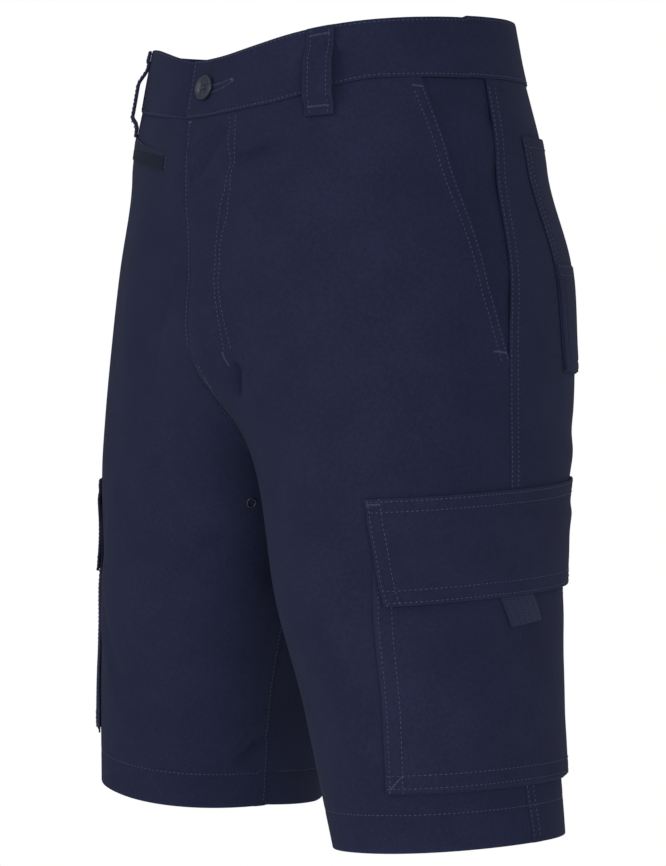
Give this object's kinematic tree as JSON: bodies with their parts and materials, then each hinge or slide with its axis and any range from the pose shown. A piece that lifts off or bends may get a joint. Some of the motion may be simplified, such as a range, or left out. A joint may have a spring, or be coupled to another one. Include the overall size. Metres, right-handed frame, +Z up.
{
  "type": "cargo work shorts",
  "caption": "Knee-length cargo work shorts in navy twill, filled out as worn, with a buttoned waistband, fly, slant, patch, welt and flapped cargo pockets.",
  "frame": {"origin": "the middle of the waist, in the plane of symmetry and halfway down the waistband's side, where the wearer's waist holds the garment", "axes": "+Z up, +X to the wearer's left, -Y to the front"},
  "size_m": [0.4284, 0.284, 0.5834],
  "materials": {
    "twill": "dark navy cotton twill, matt with a slight sheen",
    "webbing": "navy herringbone webbing",
    "zip_tape": "dark zip tape with its closed chain",
    "button": "dark navy plastic, satin",
    "eyelet": "dark metal, semi-gloss"
  },
  "bodies": {
    "root": {"waistband": "twill", "front_left": "twill", "front_right": "twill", "back_left": "twill", "back_right": "twill", "pocket_facing_left": "twill", "pocket_facing_right": "twill", "fly_shield": "twill", "fly_zip": "zip_tape", "fob_pocket_welt": "twill", "back_pocket_left": "twill", "back_pocket_right": "twill", "back_pocket_patch_left": "twill", "back_pocket_patch_right": "twill", "cargo_pocket_left": "twill", "cargo_pocket_right": "twill", "cargo_flap_left": "twill", "cargo_flap_right": "twill", "cargo_tab_left": "webbing", "cargo_tab_right": "webbing", "belt_loop_front_left": "twill", "belt_loop_front_right": "twill", "belt_loop_back_left": "twill", "belt_loop_back_right": "twill", "belt_loop_back_middle": "twill", "waist_button": "button", "vent_eyelet_left": "eyelet", "vent_eyelet_right": "eyelet"}
  },
  "joints": []
}
